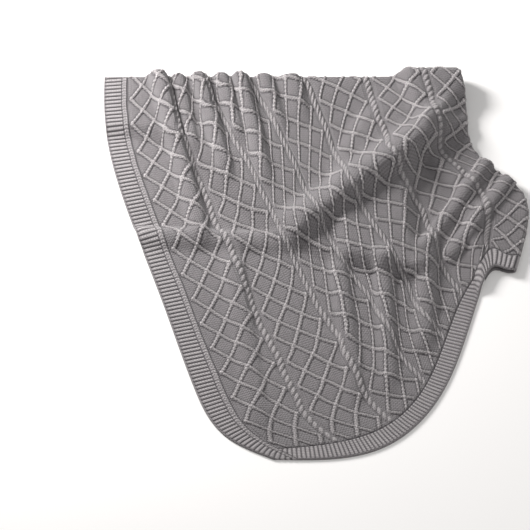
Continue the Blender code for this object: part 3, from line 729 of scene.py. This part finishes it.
# Steps and counts of the nets. Parts that lie out of sight take coarser ones.
grid = {"fine": 0.0019, "coarse": 0.010, "every": 6, "past": 0.012,
        "ribFine": 0.00156, "borderCount": 31, "hemCount": 23,
        "rightFine": 0.0024, "rightCount": 25, "farFine": 0.0018, "farCount": 19, "farEvery": 1}
fieldLow, fieldHigh = cloth["border"], cloth["width"] - cloth["border"]
tLow, tHigh = cloth["hem"], cloth["length"] - cloth["hem"]
cuts = [fieldLow]
for k in range(1, cloth["panels"]):
    panelEnd = cloth["border"] + cloth["margin"] + k * cloth["panelStep"] - cloth["ropeSpace"]
    cuts.append(panelEnd + rope["cutSide"])  # beside the rope, where the knit is plain
cuts.append(fieldHigh)
sideEnd = cloth["turnS"] + cloth["sideTurn"]
for k in range(cloth["panels"]):
    low, high = cuts[k], cuts[k + 1]
    turnEnd = max(turnT(low)[1], turnT(min(high, cloth["turnS"]))[1]) + grid["past"]
    count = max(2, round((min(high, sideEnd) - low) / grid["fine"]))
    sLines = np.linspace(low, min(high, sideEnd), count + 1)
    if high > sideEnd:
        count = round((high - sideEnd) / grid["coarse"])
        sLines = np.append(sLines, np.linspace(sideEnd, high, count + 1)[1:])
    tLines = spaced(tLow, turnEnd, tHigh, grid["fine"], grid["coarse"])
    strip = sheetMesh("panelStrip" + str(k + 1), sLines, tLines, panelRelief, grid["every"])
    place(strip, "panel", panelKnit, (high - low, tHigh - tLow))

print("borders and hems")


def evenLines(low, high, step):
    return np.linspace(low, high, round((high - low) / step) + 1)


borderFlat = (cloth["border"], cloth["length"])
hemFlat = (cloth["field"], cloth["hem"])
left = sheetMesh("borderLeft", np.linspace(0, cloth["border"], grid["borderCount"]),
                 evenLines(0, cloth["length"], grid["ribFine"]),
                 borderRelief, grid["every"], leaning=borderLeaning)
place(left, "border_left", borderKnit, borderFlat)
right = sheetMesh("borderRight", np.linspace(fieldHigh, cloth["width"], grid["rightCount"]),
                  evenLines(0, cloth["length"], grid["rightFine"]),
                  borderRelief, grid["every"])
place(right, "border_right", borderKnit, borderFlat)
near = sheetMesh("hemNear", evenLines(fieldLow, fieldHigh, grid["ribFine"]),
                 np.linspace(0, cloth["hem"], grid["hemCount"]),
                 hemRelief, grid["every"], leaning=hemLeaning)
place(near, "hem_near", hemKnit, hemFlat)
far = sheetMesh("hemFar", evenLines(fieldLow, fieldHigh, grid["farFine"]),
                np.linspace(tHigh, cloth["length"], grid["farCount"]),
                hemRelief, grid["farEvery"], hemUnder)
place(far, "hem_far", hemKnit, hemFlat)

print("stage, light and camera")
studio = {"reach": 9, "floor": "f8f7f6", "floorRoughness": 0.9,
          "air": "ffffff", "airStrength": 0.34}
reach = studio["reach"]
floorCorners = [(-reach, -reach, 0), (reach, -reach, 0), (reach, reach, 0), (-reach, reach, 0)]
floorMesh = bpy.data.meshes.new("floor")
floorMesh.from_pydata(floorCorners, [], [(0, 1, 2, 3)])
floor = bpy.data.objects.new("floor", floorMesh)
bpy.context.scene.collection.objects.link(floor)
paper = bpy.data.materials.new("matPaleFloor")  # plain pale surface under soft light
paper.use_nodes = True
paperShader = paper.node_tree.nodes["Principled BSDF"]
paperShader.inputs["Base Color"].default_value = linear(studio["floor"])
paperShader.inputs["Roughness"].default_value = studio["floorRoughness"]
floorMesh.materials.append(paper)


def areaLight(name, spot, size, power, tint):
    data = bpy.data.lights.new(name, "AREA")
    data.shape = "DISK"
    data.size = size
    data.energy = power
    data.color = linear(tint)[:3]
    lamp = bpy.data.objects.new(name, data)
    lamp.location = spot
    lamp.rotation_euler = (-Vector(spot)).to_track_quat("-Z", "Y").to_euler()
    bpy.context.scene.collection.objects.link(lamp)


areaLight("keyLight", spot=(-1.6, 1.45, 1.20), size=0.9, power=106, tint="fffdfc")
areaLight("fillLight", spot=(2.2, -1.8, 3.2), size=3.0, power=48, tint="fffdfb")
world = bpy.data.worlds.new("softStudio")
world.use_nodes = True
air = world.node_tree.nodes["Background"]
air.inputs["Color"].default_value = linear(studio["air"])
air.inputs["Strength"].default_value = studio["airStrength"]
bpy.context.scene.world = world
bpy.context.scene.view_settings.view_transform = "Standard"

# A far camera with a long lens. One pixel of the 530 across is 2.47 mm at the cloth.
view = {"elevation": 48, "distance": 20.0, "pixels": 530, "pixel": 0.00247,
        "across": -0.1240, "up": 0.0030, "clipEnd": 40}
camera = bpy.data.objects.new("camera", bpy.data.cameras.new("camera"))
camera.data.lens = view["distance"] * camera.data.sensor_width / (view["pixels"] * view["pixel"])
camera.data.clip_end = view["clipEnd"]
angle = math.radians(view["elevation"])
camera.location = (view["across"],
                   -view["distance"] * math.cos(angle) - view["up"] * math.sin(angle),
                   view["distance"] * math.sin(angle) + view["up"] * math.cos(angle))
camera.rotation_euler = (math.pi / 2 - angle, 0, 0)
bpy.context.scene.collection.objects.link(camera)
bpy.context.scene.camera = camera
